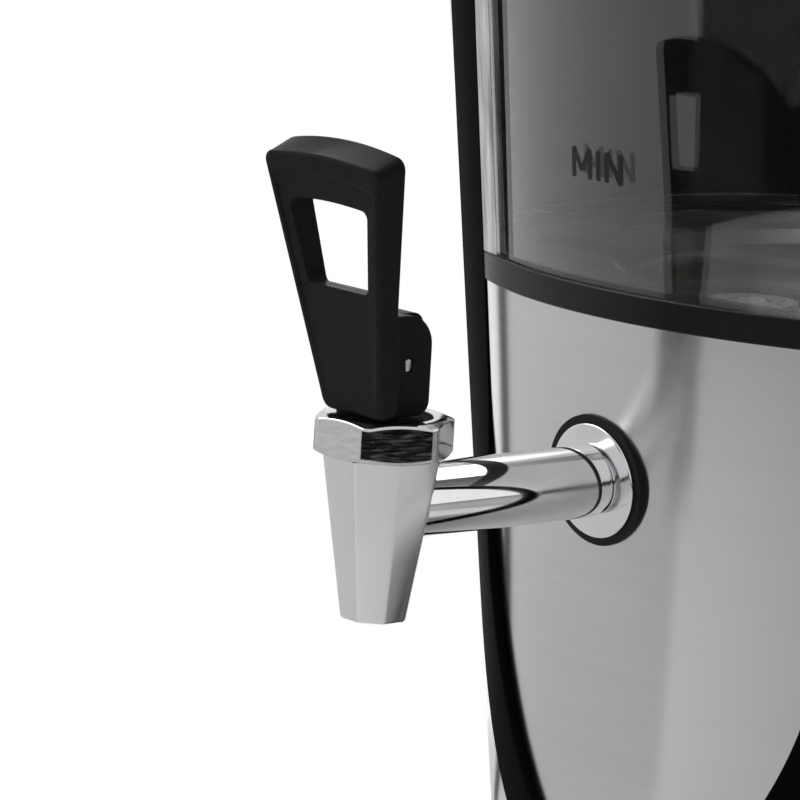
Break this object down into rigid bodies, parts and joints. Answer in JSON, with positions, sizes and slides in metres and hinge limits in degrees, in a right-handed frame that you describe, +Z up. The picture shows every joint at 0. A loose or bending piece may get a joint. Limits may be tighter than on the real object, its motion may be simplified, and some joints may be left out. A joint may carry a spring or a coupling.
{
  "type": "electric samovar",
  "caption": "Electric samovar with a tapered steel body, glass water tank in a curved front window, lever tap, side handles and a lid that carries a teapot.",
  "frame": {"origin": "on the table, under the body's axis, at the middle of the centre foot's underside", "axes": "+Z up along the body's axis; the tap points along -Y; +X is to the right of someone facing the tap"},
  "size_m": [0.3474, 0.3503, 0.3523],
  "materials": {
    "brushed_steel": "fine satin brushing running round the body",
    "polished_steel": "polished bright inside the tank",
    "chrome": "bright chrome plate",
    "black_plastic": "semi-gloss black moulding",
    "lever_plastic": "black moulding with a satin sheen",
    "black_paint": "flat black",
    "clear_glass": "clear heat-proof glass",
    "rubber": "matt black rubber",
    "silicone": "translucent grey silicone",
    "brass": "turned brass",
    "plated_steel": "zinc plate",
    "aluminium": "cast, unpolished",
    "element_sheath": "dull heat-browned sheath",
    "ceramic": "off-white ceramic and moulded plastic",
    "lamp_lens": "translucent red",
    "wire_sleeve": "heat-proof sleeve"
  },
  "bodies": {
    "samovar_body": {"base_cover": "black_plastic", "feet": "rubber", "base_screws": "plated_steel", "shell_brackets": "plated_steel", "body_shell": "brushed_steel", "outer_shell": "brushed_steel", "shell_liner": "black_paint", "front_trim": "black_plastic", "glass_seat_ring": "black_plastic", "tank_floor": "polished_steel", "glass_seal": "rubber", "glass_tank": "clear_glass", "top_seal": "rubber", "top_rim": "black_plastic", "side_handle_left": "black_plastic", "side_handle_right": "black_plastic", "handle_screws": "plated_steel", "tap_spout": "chrome", "tap_pipe": "chrome", "tap_flange": "chrome", "tap_gasket": "rubber", "tap_washer": "rubber", "tap_lock_nut": "brass", "bonnet_nut": "chrome", "bonnet_bush": "black_plastic", "stem_spring": "plated_steel", "drain_fitting": "brass", "drain_washer": "rubber", "drain_nut": "brass", "drain_hose": "silicone", "hose_clamps": "plated_steel", "heat_spreader": "aluminium", "heating_element": "element_sheath", "element_terminals": "ceramic", "thermostat": "ceramic", "thermal_fuse": "ceramic", "terminal_block": "ceramic", "control_unit": "ceramic", "pilot_lamp": "lamp_lens", "power_inlet": "black_plastic", "inlet_pins": "brass", "wiring": "wire_sleeve"},
    "stem": {"tap_stem": "brass", "stem_plug": "silicone", "lever_pin": "plated_steel"},
    "lever": {"tap_lever": "lever_plastic"},
    "lid": {"lid_plate": "brushed_steel", "teapot_ring": "black_plastic"},
    "knob": {"control_knob": "black_plastic", "control_spindle": "plated_steel"}
  },
  "joints": [
    {"name": "stem_lift", "type": "slide", "parent": "samovar_body", "child": "stem", "axis": [0, 0, 1], "range_m": [0, 0.0046], "stiffness_N_per_m": 400, "springref_m": -0.006, "deforming": ["stem_spring"]},
    {"name": "lever_tilt", "type": "hinge", "parent": "stem", "child": "lever", "pos_m": [0, -0.18596, 0.187], "axis": [1, 0, 0], "range_deg": [0, 28]},
    {"name": "lid_lift", "type": "slide", "parent": "samovar_body", "child": "lid", "axis": [0, 0, 1], "range_m": [0, 0.06]},
    {"name": "knob_turn", "type": "hinge", "parent": "samovar_body", "child": "knob", "pos_m": [0, -0.1, 0.016], "axis": [0, -1, 0], "range_deg": [0, 270]}
  ],
  "couplings": [
    {"joint": "lever_tilt", "follows": "stem_lift", "rad_per_m": 105.26}
  ]
}
